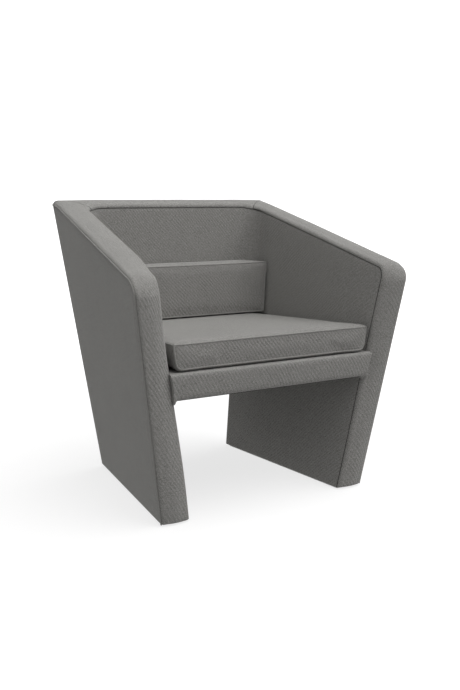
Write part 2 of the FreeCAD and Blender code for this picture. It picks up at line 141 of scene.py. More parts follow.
# Seams: half the height and half the width of their oval sections.
TUBE_SIDES = 10
OUTER_RIDGE = (0.0024, 0.0015)
# The thread sections are dark cords laid in the seams: painted shade standing in for the shadow line in each
# seam's groove.
OUTER_SHADOW_CORD = (0.0009, 0.0008)
INNER_SHADOW_CORD = (0.0009, 0.0009)
MITRE_SHADOW_CORD = (0.0007, 0.0008)
REAR_RIDGE = (0.0022, 0.0016)
FRONT_WELT = (0.0022, 0.0020)
CUSHION_SEAM = (0.0011, 0.0013)
SEAM_SINK = 0.0002
WELT_SPACING = 0.006

# Cloth weave and colour.
YARN_PITCH = 0.0034
YARN_BUMP = 0.7
YARN_CONTRAST = 0.26
YARN_WANDER = 0.0016
FLECKS_PER_PITCH = 2.2
CLOUD_CONTRAST = 0.06
RIB_PITCHES = 2.2
RIB_DIRECTION = (0.80, 0.75, 0.60)
RIB_FACING = (0.73, 0.68, 0.0)
RIB_SWAY = 26.0
RIB_CONTRAST = 0.105
CLOTH_DARK_AT = 0.30
CLOTH_LIGHT_AT = 0.78


def unit(v):
    v = np.asarray(v, float)
    return v / np.linalg.norm(v)


def smooth(t):
    t = min(max(t, 0.0), 1.0)
    return t * t * (3.0 - 2.0 * t)


def rear_y(z):
    return REAR_FLOOR_Y + (REAR_TOP_Y - REAR_FLOOR_Y) * z / CREST_Z


def front_y(z):
    return FRONT_FLOOR_Y + (FRONT_TOP_Y - FRONT_FLOOR_Y) * z / ARM_FRONT_Z


def top_z(y):
    return ARM_FRONT_Z + (CREST_Z - ARM_FRONT_Z) * (y - FRONT_TOP_Y) / (REAR_TOP_Y - FRONT_TOP_Y)


def face_y(z):
    lean = (REAR_TOP_Y - REAR_FLOOR_Y) / CREST_Z
    return rear_y(z) - BACK_THICK * math.hypot(1.0, lean)


def side_x(y, z, depth):
    return FLOOR_HALF_WIDTH + LEAN * z - TOE * y - depth


def front_taper(y, z):
    """How far the rounding of the arm's front end has taken hold at a point, 0 to 1."""
    return smooth((TAPER_START_Y - y) / TAPER_RUN_Y) * smooth((z - TAPER_START_Z) / TAPER_RUN_Z)


def inner_depth(y, z):
    return SIDE_THICK - TAPER_DEPTH * front_taper(y, z)


def inner_corner(angle, z):
    """Plan position on the fillet between a side's inner face and the back's face."""
    y = face_y(z) - CORNER_R
    x = side_x(y, z, SIDE_THICK) - CORNER_R * math.hypot(1.0, TOE)
    return x + CORNER_R * math.cos(angle), y + CORNER_R * math.sin(angle)


def arm_corner(angle):
    """Point of the arm's inner seam on that fillet."""
    z = CREST_Z
    for _ in range(8):
        x, y = inner_corner(angle, z)
        z = top_z(y) + INNER_RAISE
    return np.array((x, y, z))


def crown(a):
    """Rise of the padded top band above its two seams, at fraction a across it."""
    d = min(a, 1.0 - a) * BAND_WIDTH
    if d < EDGE_ROUND:
        return EDGE_RISE * math.sqrt(max(0.0, 1.0 - (1.0 - d / EDGE_ROUND) ** 2))
    s = (a * BAND_WIDTH - EDGE_ROUND) / (BAND_WIDTH - 2.0 * EDGE_ROUND)
    return EDGE_RISE + DOME_RISE * math.sin(math.pi * s)


def corner_lift(a, drop):
    """Extra rise that keeps the band's top level where its outer seam drops at a rear corner."""
    return drop * (1.0 - a) * min(1.0, crown(a) / EDGE_RISE)


def across_steps():
    """Fractions across the band, closer together over its rounded edges."""
    edge = [EDGE_ROUND * (1.0 - math.cos(math.radians(q))) / BAND_WIDTH for q in range(0, 91, 15)]
    flat = np.linspace(edge[-1], 1.0 - edge[-1], 9)[1:-1]
    return edge + list(flat) + [1.0 - e for e in reversed(edge)]


ACROSS = across_steps()


def with_supports(a, b, count, gap):
    """count + 1 values from a to b, with one more close to each end."""
    step = gap / abs(b - a)
    t = sorted(set(np.linspace(0.0, 1.0, count + 1)) | {step, 1.0 - step})
    return [a + (b - a) * v for v in t]


class Shell:
    """Vertices and faces of one closed mesh."""

    def __init__(self):
        self.verts = []
        self.faces = []

    def add(self, points):
        start = len(self.verts)
        self.verts.extend(tuple(float(c) for c in p) for p in points)
        return list(range(start, len(self.verts)))

    def bridge(self, a, b, closed=True):
        n = len(a)
        for i in range(n if closed else n - 1):
            k = (i + 1) % n
            self.faces.append((a[i], a[k], b[k], b[i]))

    def cap(self, ring):
        self.faces.append(tuple(ring))


def make_object(name, shell, body, material, level=1, mirror=False):
    """A smooth-shaded piece from a shell, riding on a body; mirror turns a right side into a left one."""
    mesh = bpy.data.meshes.new(name)
    sign = -1.0 if mirror else 1.0
    mesh.from_pydata([(sign * x, y, z) for x, y, z in shell.verts], [], shell.faces)
    bm = bmesh.new()
    bm.from_mesh(mesh)
    bmesh.ops.remove_doubles(bm, verts=bm.verts, dist=2e-5)
    big = [f for f in bm.faces if len(f.verts) > 4]
    if big:
        bmesh.ops.triangulate(bm, faces=big)
    bmesh.ops.recalc_face_normals(bm, faces=bm.faces)
    bm.to_mesh(mesh)
    bm.free()
    mesh.shade_smooth()
    ob = bpy.data.objects.new(name, mesh)
    bpy.context.scene.collection.objects.link(ob)
    ob.data.materials.append(material)
    if level:
        sub = ob.modifiers.new("smooth", "SUBSURF")
        sub.levels = level
        sub.render_levels = level
    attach(ob, body)
    return ob


def sweep(name, path, ups, section, body, material, closed=False, mirror=False):
    """A tube of oval section along a path; ups is the direction of the section's height."""
    half_u, half_v = section
    shell = Shell()
    path = [np.asarray(p, float) for p in path]
    n = len(path)
    rings = []
    for i, p in enumerate(path):
        before = path[(i - 1) % n] if closed or i else path[i]
        after = path[(i + 1) % n] if closed or i < n - 1 else path[i]
        along = unit(after - before)
        u = np.asarray(ups[i], float)
        u = unit(u - along * float(np.dot(u, along)))
        v = np.cross(along, u)
        ring = []
        for k in range(TUBE_SIDES):
            q = 2.0 * math.pi * k / TUBE_SIDES
            ring.append(p + u * half_u * math.cos(q) + v * half_v * math.sin(q))
        rings.append(shell.add(ring))
    for a, b in zip(rings, rings[1:]):
        shell.bridge(a, b)
    if closed:
        shell.bridge(rings[-1], rings[0])
    else:
        shell.cap(list(reversed(rings[0])))
        shell.cap(rings[-1])
    return make_object(name, shell, body, material, level=0, mirror=mirror)


# ---------------------------------------------------------------- materials

def new_material(name):
    mat = bpy.data.materials.new(name)
    mat.use_nodes = True
    tree = mat.node_tree
    shader = tree.nodes["Principled BSDF"]
    return mat, tree, shader


def math_node(tree, op, a, b=None, c=None):
    node = tree.nodes.new("ShaderNodeMath")
    node.operation = op
    for socket, value in zip(node.inputs, (a, b, c)):
        if value is None:
            continue
        if isinstance(value, (int, float)):
            socket.default_value = value
        else:
            tree.links.new(value, socket)
    return node.outputs[0]


def vector_node(tree, op, a, b=None):
    node = tree.nodes.new("ShaderNodeVectorMath")
    node.operation = op
    for socket, value in zip(node.inputs, (a, b)):
        if value is None:
            continue
        if isinstance(value, tuple):
            socket.default_value = value
        else:
            tree.links.new(value, socket)
    return node.outputs["Value"] if op == "DOT_PRODUCT" else node.outputs["Vector"]


def noise_node(tree, coords, scale, detail=2.0, rough=0.5):
    node = tree.nodes.new("ShaderNodeTexNoise")
    node.inputs["Scale"].default_value = scale
    node.inputs["Detail"].default_value = detail
    node.inputs["Roughness"].default_value = rough
    tree.links.new(coords, node.inputs["Vector"])
    return node.outputs["Fac"]


def ramp(tree, value, low, high, dark, light):
    node = tree.nodes.new("ShaderNodeValToRGB")
    node.color_ramp.elements[0].position = low
    node.color_ramp.elements[0].color = (*dark, 1.0)
    node.color_ramp.elements[1].position = high
    node.color_ramp.elements[1].color = (*light, 1.0)
    tree.links.new(value, node.inputs["Fac"])
    return node.outputs["Color"]


def weave(tree, coords, pitch):
    """Height of a plain weave, on whichever plane the surface faces."""
    k = 2.0 * math.pi / pitch
    wander = tree.nodes.new("ShaderNodeTexNoise")
    wander.inputs["Scale"].default_value = 90.0
    tree.links.new(coords, wander.inputs["Vector"])
    shift = vector_node(tree, "MULTIPLY", wander.outputs["Color"], (YARN_WANDER,) * 3)
    moved = vector_node(tree, "ADD", coords, shift)
    waves = vector_node(tree, "SINE", vector_node(tree, "MULTIPLY", moved, (k, k, k)))
    split = tree.nodes.new("ShaderNodeSeparateXYZ")
    tree.links.new(waves, split.inputs[0])
    sx, sy, sz = split.outputs
    planes = tree.nodes.new("ShaderNodeCombineXYZ")
    for socket, (p, q) in zip(planes.inputs, ((sy, sz), (sx, sz), (sx, sy))):
        tree.links.new(math_node(tree, "MULTIPLY", p, q), socket)
    geometry = tree.nodes.new("ShaderNodeNewGeometry")
    w = vector_node(tree, "MULTIPLY", geometry.outputs["Normal"], geometry.outputs["Normal"])
    w = vector_node(tree, "MULTIPLY", w, w)
    w = vector_node(tree, "MULTIPLY", w, w)
    total = vector_node(tree, "DOT_PRODUCT", w, (1.0, 1.0, 1.0))
    return math_node(tree, "DIVIDE", vector_node(tree, "DOT_PRODUCT", w, planes.outputs[0]), total)


def rib(tree, coords, pitch):
    """Faint slanting rib on upright faces, stronger in places, fading where it would run level."""
    k = 2.0 * math.pi / pitch
    along = vector_node(tree, "DOT_PRODUCT", coords, tuple(c * k for c in RIB_DIRECTION))
    sway = math_node(tree, "MULTIPLY", noise_node(tree, coords, 5.0, 1.0), RIB_SWAY)
    wave = math_node(tree, "SINE", math_node(tree, "ADD", along, sway))
    where = noise_node(tree, coords, 9.0, 1.0)
    normal = tree.nodes.new("ShaderNodeNewGeometry").outputs["Normal"]
    split = tree.nodes.new("ShaderNodeSeparateXYZ")
    tree.links.new(normal, split.inputs[0])
    upright = math_node(tree, "SUBTRACT", 1.0, math_node(tree, "ABSOLUTE", split.outputs[2]))
    facing = math_node(tree, "POWER", vector_node(tree, "DOT_PRODUCT", normal, RIB_FACING), 2.0)
    slanting = math_node(tree, "MULTIPLY", math_node(tree, "SUBTRACT", 1.0, facing), 2.0)
    clamp = tree.nodes.new("ShaderNodeClamp")
    tree.links.new(slanting, clamp.inputs[0])
    strength = math_node(tree, "MULTIPLY", math_node(tree, "MULTIPLY", where, upright), RIB_CONTRAST)
    strength = math_node(tree, "MULTIPLY", strength, clamp.outputs[0])
    return math_node(tree, "MULTIPLY", wave, strength)


def cloth_material(name, dark, light, pitch=YARN_PITCH, bump=YARN_BUMP):
    """Woven cloth: yarns, flecks, soft clouds and a rib, with a little sheen."""
    mat, tree, shader = new_material(name)
    coords = tree.nodes.new("ShaderNodeTexCoord").outputs["Object"]
    height = weave(tree, coords, pitch)
    flecks = noise_node(tree, coords, FLECKS_PER_PITCH / pitch)
    clouds = noise_node(tree, coords, 7.0, 3.0)
    value = math_node(tree, "ADD", flecks, math_node(tree, "MULTIPLY", height, YARN_CONTRAST))
    value = math_node(tree, "ADD", value, math_node(tree, "MULTIPLY", clouds, CLOUD_CONTRAST))
    value = math_node(tree, "ADD", value, rib(tree, coords, RIB_PITCHES * pitch))
    color = ramp(tree, value, CLOTH_DARK_AT, CLOTH_LIGHT_AT, dark, light)
    tree.links.new(color, shader.inputs["Base Color"])
    mixed = math_node(tree, "ADD", math_node(tree, "MULTIPLY", height, 0.5), flecks)
    node = tree.nodes.new("ShaderNodeBump")
    node.inputs["Strength"].default_value = bump
    node.inputs["Distance"].default_value = 0.0006
    tree.links.new(mixed, node.inputs["Height"])
    tree.links.new(node.outputs["Normal"], shader.inputs["Normal"])
    tree.links.new(math_node(tree, "MULTIPLY_ADD", flecks, 0.15, 0.80), shader.inputs["Roughness"])
    shader.inputs["Sheen Weight"].default_value = 0.30
    shader.inputs["Sheen Roughness"].default_value = 0.45
    shader.inputs["Sheen Tint"].default_value = (0.95, 0.95, 0.93, 1.0)
    shader.inputs["Specular IOR Level"].default_value = 0.15
    return mat


def grain_material(name, dark, light, stretch, scale, rough=0.6, bump=0.2, metallic=0.0, alpha=0.0):
    """Wood, board, metal and plastic: noise drawn out along one direction."""
    mat, tree, shader = new_material(name)
    coords = tree.nodes.new("ShaderNodeTexCoord").outputs["Object"]
    drawn = vector_node(tree, "MULTIPLY", coords, stretch)
    lines = noise_node(tree, drawn, scale, 5.0, 0.6)
    tree.links.new(ramp(tree, lines, 0.3, 0.7, dark, light), shader.inputs["Base Color"])
    node = tree.nodes.new("ShaderNodeBump")
    node.inputs["Strength"].default_value = bump
    node.inputs["Distance"].default_value = 0.0004
    tree.links.new(lines, node.inputs["Height"])
    tree.links.new(node.outputs["Normal"], shader.inputs["Normal"])
    tree.links.new(math_node(tree, "MULTIPLY_ADD", lines, 0.2, rough - 0.1), shader.inputs["Roughness"])
    shader.inputs["Metallic"].default_value = metallic
    shader.inputs["Transmission Weight"].default_value = alpha
    return mat


SHELL_FABRIC = cloth_material("shell_fabric", (0.095, 0.093, 0.088), (0.450, 0.441, 0.422))
# A slightly darker copy of the shell cloth for the loose cushion and pad: painted shade that dims these two
# pieces.
CUSHION_FABRIC_SHADED = cloth_material("cushion_fabric", (0.088, 0.086, 0.081), (0.415, 0.406, 0.389))
# Lighter cloth for the raised seam ridges and welts: the ridges are real shape, and their lighter tone is a
# painted highlight on them.
WELT_FABRIC_HIGHLIT = cloth_material("welt_fabric_highlit", (0.19, 0.186, 0.176), (0.43, 0.422, 0.405), pitch=0.001)
# Near-black cloth for the cords laid in the seams: painted shade for the shadow line in each groove.
SEAM_SHADOW_CORD = cloth_material("seam_shadow_cord", (0.020, 0.020, 0.019), (0.075, 0.073, 0.070), pitch=0.0009)
DUST_CLOTH = cloth_material("dust_cloth", (0.012, 0.012, 0.012), (0.035, 0.035, 0.035), pitch=0.002)
WEBBING = cloth_material("webbing", (0.02, 0.02, 0.02), (0.20, 0.17, 0.12), pitch=0.003)
ZIP_TAPE = cloth_material("zip_tape", (0.06, 0.06, 0.055), (0.17, 0.165, 0.155), pitch=0.001)
HOOK_STRIP = cloth_material("hook_strip", (0.03, 0.03, 0.03), (0.11, 0.11, 0.105), pitch=0.0018, bump=0.9)
TIMBER = grain_material("timber", (0.42, 0.27, 0.14), (0.68, 0.50, 0.31), (1.0, 1.0, 0.12), 60.0)
BOARD = grain_material("board", (0.22, 0.14, 0.08), (0.38, 0.26, 0.16), (1.0, 1.0, 1.0), 300.0, rough=0.75)
STEEL = grain_material("steel", (0.35, 0.35, 0.36), (0.62, 0.62, 0.62), (1.0, 0.1, 1.0), 500.0,
                       rough=0.35, metallic=1.0)
GLIDE = grain_material("glide_plastic", (0.62, 0.62, 0.60), (0.82, 0.82, 0.80), (1.0, 1.0, 1.0), 120.0,
                       rough=0.35, bump=0.08, alpha=0.35)


# ---------------------------------------------------------------- sides

def fillet_points(corner, toward_a, toward_b, radius, count):
    """Arc that rounds a corner in the YZ plane, with its outward normals."""
    a = unit(toward_a)
    b = unit(toward_b)
    half = math.acos(float(np.dot(a, b))) / 2.0
    centre = corner + unit(a + b) * radius / math.sin(half)
    start = corner + a * radius / math.tan(half) - centre
    end = corner + b * radius / math.tan(half) - centre
    total = math.acos(float(np.dot(unit(start), unit(end))))
    out = []
    for t in np.linspace(0.0, 1.0, count + 1):
        ray = (start * math.sin((1.0 - t) * total) + end * math.sin(t * total)) / math.sin(total)
        out.append((centre + ray, unit(ray)))
    return out


def arm_path(t):
    """Inner seam of the arm in the corner region, t from 0 at its start to 1 at the mitre."""
    tangent = arm_corner(TANGENT_ANGLE)
    straight = tangent[1] - FAN_START_Y
    arc = CORNER_R * (MITRE_ANGLE - TANGENT_ANGLE)
    s = t * (straight + arc)
    if s < straight:
        y = FAN_START_Y + s
        z = top_z(y) + INNER_RAISE
        return np.array((side_x(y, z, SIDE_THICK), y, z))
    return arm_corner(TANGENT_ANGLE + (s - straight) / CORNER_R)


def side_stations():
    """Rows round the right side: outer point, inner point, crown direction, crown factor."""
    corner = np.array((FRONT_TOP_Y, ARM_FRONT_Z))
    down = np.array((FRONT_FLOOR_Y, 0.0)) - corner
    back = np.array((REAR_TOP_Y, CREST_Z)) - corner
    arc = fillet_points(corner, down, back, FRONT_CORNER_R, 12)
    front_normal, top_normal = arc[0][1], arc[-1][1]
    rows = []

    def put(p, n, factor, raise_by=0.0):
        y, z = p
        outer = np.array((side_x(y, z, 0.0), y, z))
        setback = TAPER_SETBACK * front_taper(y, z) * max(0.0, -n[0])
        yi, zi = p + np.asarray(n) * (raise_by - setback)
        inner = np.array((side_x(yi, zi, inner_depth(y, z)), yi, zi))
        rows.append((outer, inner, np.array((LEAN * n[1] - TOE * n[0], n[0], n[1])), factor))

    for height in (0.0, 0.0012, 0.003, 0.006, FOOT_ROUND):
        z = SIDE_BOTTOM_Z + height
        fill = math.sqrt(1.0 - (1.0 - height / FOOT_ROUND) ** 2)
        put(np.array((front_y(z), z)), front_normal, FOOT_SHARE + (1.0 - FOOT_SHARE) * fill)
    for z in np.linspace(SIDE_BOTTOM_Z + FOOT_ROUND, arc[0][0][1], 24)[1:-1]:
        put(np.array((front_y(z), z)), front_normal, 1.0)
    for i, (p, n) in enumerate(arc):
        t = i / (len(arc) - 1)
        put(p, n, 1.0 - BEND_LOSS * math.sin(math.pi * t), INNER_RAISE * smooth(t))
    for y in np.linspace(arc[-1][0][0], FAN_START_Y, 26)[1:-1]:
        put(np.array((y, top_z(y))), top_normal, 1.0, INNER_RAISE)
    top_direction = rows[-1][2]
    for t in list(np.linspace(0.0, 0.95, 14)) + [0.975, 0.99, 1.0]:
        y = FAN_START_Y + (REAR_TOP_Y - FAN_START_Y) * t
        outer = np.array((side_x(y, top_z(y), 0.0), y, top_z(y)))
        outer[2] -= CORNER_DROP * smooth((t - 0.75) / 0.25)
        direction = unit(top_direction * (1.0 - t) + np.array((0.0, 0.0, 1.0)) * t)
        rows.append((outer, arm_path(t), direction, MITRE_SHARE if t == 1.0 else 1.0))
    mitre = len(rows) - 1
    hidden = (0.0, 1.0)
    for z in [0.722, 0.700] + with_supports(0.670, SIDE_BOTTOM_Z, 18, 0.003):
        put(np.array((rear_y(z) - REAR_INSET, z)), hidden, 0.0)
    for y in with_supports(rear_y(SIDE_BOTTOM_Z) - 0.004, front_y(SIDE_BOTTOM_Z) + 0.004, 16, 0.004):
        put(np.array((y, SIDE_BOTTOM_Z)), hidden, 0.0)
    return rows, mitre


SIDE_ROWS, MITRE_ROW = side_stations()
RINGS = (0.008, 0.018, 0.035, 0.06, 0.10, 0.16, 0.24, 0.34, 0.46, 0.60, 0.75, 0.90)
SPINE_A = np.array((-0.13, 0.27))
SPINE_B = np.array((0.13, 0.36))


def spine_point(p):
    """Nearest point of the line that a side's faces close in on."""
    along = SPINE_B - SPINE_A
    t = float(np.dot(p - SPINE_A, along) / np.dot(along, along))
    return SPINE_A + along * min(max(t, 0.0), 1.0)


def panel_puff(y, z, dist, inner, seed):
    """How far a side's face stands out at a point, dist being the distance from its seam."""
    fill = 1.0 - math.exp(-dist / PANEL_EDGE)
    swell = PANEL_SWELL * fill
    ripple = PANEL_RIPPLE * noise.noise(Vector((y * 9.0, z * 7.0, seed))) * fill
    fine = PANEL_FINE_RIPPLE * noise.noise(Vector((y * 38.0, z * 30.0, seed + 5.0))) * fill
    if not inner:
        return swell + ripple + fine
    tangent = arm_corner(TANGENT_ANGLE)[1]
    room = smooth((tangent - y) / 0.08)
    return (0.45 * swell + 0.5 * ripple + fine) * room


def build_side(name, mirror, seed):
    shell = Shell()
    rows = []
    for outer, inner, direction, factor in SIDE_ROWS:
        dip = SEAM_DIP / SIDE_THICK if factor > 0.0 else 0.0
        at_corner = factor > 0.5 and outer[1] > FAN_START_Y
        drop = max(0.0, top_z(outer[1]) - outer[2]) if at_corner else 0.0
        points = []
        for k, a in enumerate(ACROSS):
            shift = dip if k == 0 else (-dip if k == len(ACROSS) - 1 else 0.0)
            rise = crown(a) * factor + corner_lift(a, drop)
            p = outer + (inner - outer) * (a + shift) + direction * rise
            wobble = noise.noise(Vector(p * WOBBLE_SCALE + np.array((seed, 0.0, 0.0))))
            points.append(p + direction * BAND_WOBBLE * wobble * min(1.0, crown(a) * factor / EDGE_RISE))
        rows.append(shell.add(points))
    for i, row in enumerate(rows):
        shell.bridge(row, rows[(i + 1) % len(rows)], closed=False)
    for column, is_inner in ((0, False), (-1, True)):
        ring = [row[column] for row in rows]
        edge = [np.array(shell.verts[v][1:]) for v in ring]
        for f in RINGS:
            points = []
            for p in edge:
                s = spine_point(p)
                y, z = p + (s - p) * f
                out = panel_puff(y, z, f * float(np.linalg.norm(s - p)), is_inner, seed)
                x = side_x(y, z, inner_depth(y, z)) - out if is_inner else side_x(y, z, 0.0) + out
                points.append((x, y, z))
            new = shell.add(points)
            shell.bridge(ring, new)
            ring = new
        shell.cap(ring)
    side = "left" if mirror else "right"
    ob = make_object(name, shell, "frame", SHELL_FABRIC, mirror=mirror)
    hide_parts(f"{side}_side_cover", f"{side}_edge_foam", f"{side}_outer_foam", f"{side}_inner_foam")

    run = SIDE_ROWS[: MITRE_ROW + 1]
    ups = [direction for _, _, direction, _ in run]
    # Raised ridge along the outer seam, in the lighter cloth that paints a highlight on it.
    line = [o + d * 0.0024 + np.array((0.0007, 0.0, 0.0)) for o, _, d, _ in run]
    welt = sweep(f"{side}_outer_seam_ridge", line, ups, OUTER_RIDGE, "frame", WELT_FABRIC_HIGHLIT, mirror=mirror)
    # Dark cords along the outer, inner and mitre seams: painted shade for the shadow line in each groove.
    line = [o + d * -0.0007 + np.array((-0.0004, 0.0, 0.0)) for o, _, d, _ in run]
    shadow_cord = sweep(f"{side}_outer_seam_thread", line, ups, OUTER_SHADOW_CORD, "frame", SEAM_SHADOW_CORD, mirror=mirror)
    line = [i + np.array((0.0006, 0.0, 0.0)) for _, i, _, _ in run]
    shadow_cord = sweep(f"{side}_inner_seam_thread", line, ups, INNER_SHADOW_CORD, "frame", SEAM_SHADOW_CORD, mirror=mirror)
    outer, inner, _, factor = SIDE_ROWS[MITRE_ROW]
    line = []
    for a in ACROSS:
        rise = crown(a) * factor + corner_lift(a, CORNER_DROP) + 0.0002
        line.append(outer + (inner - outer) * a + np.array((0.0, 0.0, rise)))
    ups = [(0.0, 0.0, 1.0)] * len(line)
    shadow_cord = sweep(f"{side}_mitre_seam_thread", line, ups, MITRE_SHADOW_CORD, "frame", SEAM_SHADOW_CORD, mirror=mirror)


build_side("right_side_upholstery", False, 3.1)
build_side("left_side_upholstery", True, 11.7)


# ---------------------------------------------------------------- back

def back_sections():
    """(share of the rear width, share of the face, fillet angle, steps past the mitre, side)."""
    fan = [math.radians(q) for q in np.linspace(90.0, math.degrees(MITRE_ANGLE), 8)]
    past = np.linspace(MITRE_ANGLE, TANGENT_ANGLE, PAST_STEPS + 1)[1:]
    half = []
    for g in np.linspace(0.0, 1.0, 16)[:-1]:
        half.append((g * FLAT_SHARE, g, None, 0))
    for i, angle in enumerate(fan):
        half.append((FLAT_SHARE + (1.0 - FLAT_SHARE) * i / (len(fan) - 1), 1.0, angle, 0))
    half.insert(-1, (0.992, 1.0, MITRE_ANGLE + 0.06, 0))
    for k, angle in enumerate(past, 1):
        half.append((1.0, 1.0, angle, k))
    return [(*s, -1.0) for s in reversed(half)] + [(*s, 1.0) for s in half[1:]]


def inner_seam_z(share, angle):
    """Height of the back's inner seam, which sinks to the arm's seam at the mitre."""
    flat = CREST_Z - BACK_TOP_SLOPE * BACK_THICK
    low = arm_corner(MITRE_ANGLE)[2]
    if angle is None:
        return flat - 0.15 * (flat - low) * smooth((share - 0.85) / 0.15)
    turned = (math.pi / 2.0 - angle) / (math.pi / 2.0 - MITRE_ANGLE)
    return flat - (flat - low) * (0.15 + 0.85 * smooth(turned))


def back_inner_point(share, angle, past, z):
    """Plan position on the back's inner face and its corner fillet."""
    x, y = inner_corner(math.pi / 2.0 if angle is None else angle, z)
    if angle is None:
        x *= share
        y += 0.0003 * noise.noise(Vector((x * 30.0, z * 24.0, 2.0)))
    if past == PAST_STEPS:
        x += 0.0012
    return x, y


def build_back():
    shell = Shell()
    rings = []
    seam_inner, seam_rear = [], []
    for rear, share, angle, past, sign in back_sections():
        if past:
            top = arm_corner(angle)[2] - 0.0006
        else:
            top = inner_seam_z(share, angle)
        x, y = back_inner_point(share, angle, past, top)
        inner = np.array((x, y, top))
        drop = CORNER_DROP * smooth((rear - 0.90) / 0.10)
        rear_top = np.array((rear * side_x(REAR_TOP_Y, CREST_Z, 0.0), REAR_TOP_Y, CREST_Z - drop))
        points = []
        heights = with_supports(BACK_BOTTOM_Z, CREST_Z - drop, 22, 0.004)
        for z in heights[:-1]:
            edge = min(z - BACK_BOTTOM_Z, CREST_Z - z, (1.0 - rear) * 0.33)
            puff = BACK_PROUD + BACK_SWELL * (1.0 - math.exp(-edge / PANEL_EDGE))
            wide = side_x(rear_y(z), z, 0.0) * rear
            points.append((wide - 0.002 * past, rear_y(z) + puff - 0.005 * past, z))
        for k, a in enumerate(ACROSS):
            rise = crown(a) * (1.0 if past == 0 else -1.6)
            if past == 0 and angle is not None and abs(angle - MITRE_ANGLE) < 1e-6:
                rise *= MITRE_SHARE
            if past == 0:
                rise += corner_lift(a, drop)
            p = rear_top + (inner - rear_top) * a + np.array((0.0, 0.0, rise))
            if past:
                # Past the mitre the back tucks in under the arm's band.
                p = p + np.array((0.0, -0.004 * past * (1.0 - a), -0.004 * (1.0 - a)))
            if k == 0:
                p = p + np.array((0.0, -SEAM_DIP, 0.0))
            if k == len(ACROSS) - 1:
                p = p + np.array((0.0, SEAM_DIP, 0.0))
            if 0 < k < len(ACROSS) - 1 and not past:
                p[2] += 0.0006 * noise.noise(Vector((p[0] * WOBBLE_SCALE, p[1] * WOBBLE_SCALE, 8.0)))
            points.append(tuple(p))
        for z in with_supports(top, BACK_BOTTOM_Z, 20, 0.003)[1:]:
            points.append((*back_inner_point(share, angle, past, z), z))
        rings.append(shell.add([(sign * p[0], p[1], p[2]) for p in points]))
        if past == 0:
            seam_inner.append(np.array((sign * inner[0], inner[1] + 0.0006, inner[2])))
            seam_rear.append(np.array((sign * rear_top[0], rear_top[1] + 0.0006, rear_top[2])))
    for a, b in zip(rings, rings[1:]):
        shell.bridge(a, b)
    shell.cap(rings[0])
    shell.cap(list(reversed(rings[-1])))
    ob = make_object("back_upholstery", shell, "frame", SHELL_FABRIC)
    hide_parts("back_cover", "back_edge_foam", "back_outer_foam", "back_inner_foam", "corner_foam")
    up = [(0.0, 0.0, 1.0)] * len(seam_inner)
    ridge = [p + np.array((0, 0.0009, 0.0024)) for p in seam_rear]
    # The back's inner seam gets a dark cord of painted shade for its shadow line.
    for name, path, section, mat in (
        ("back_inner_seam_thread", seam_inner, INNER_SHADOW_CORD, SEAM_SHADOW_CORD),
        ("back_rear_seam_ridge", ridge, OUTER_RIDGE, WELT_FABRIC_HIGHLIT),
    ):
        sweep(name, path, up, section, "frame", mat)
    for side, sign in (("left", -1.0), ("right", 1.0)):
        path = []
        for z in np.linspace(SIDE_BOTTOM_Z + 0.002, CREST_Z, 30):
            path.append((sign * (side_x(rear_y(z), z, 0.0) - 0.0004), rear_y(z), z))
        ups = [(0.0, 1.0, 0.0)] * len(path)
        ob = sweep(f"{side}_rear_seam_ridge", path, ups, REAR_RIDGE, "frame", WELT_FABRIC_HIGHLIT)


build_back()


# ---------------------------------------------------------------- seat base

def rounded_outline(corners, radii):
    """Closed outline in the YZ plane with each corner rounded."""
    out = []
    n = len(corners)
    for i, (corner, radius) in enumerate(zip(corners, radii)):
        p = np.asarray(corner, float)
        a = np.asarray(corners[i - 1], float) - p
        b = np.asarray(corners[(i + 1) % n], float) - p
        for point, _ in fillet_points(p, a, b, radius, OUTLINE_STEPS):
            out.append(point)
    return out


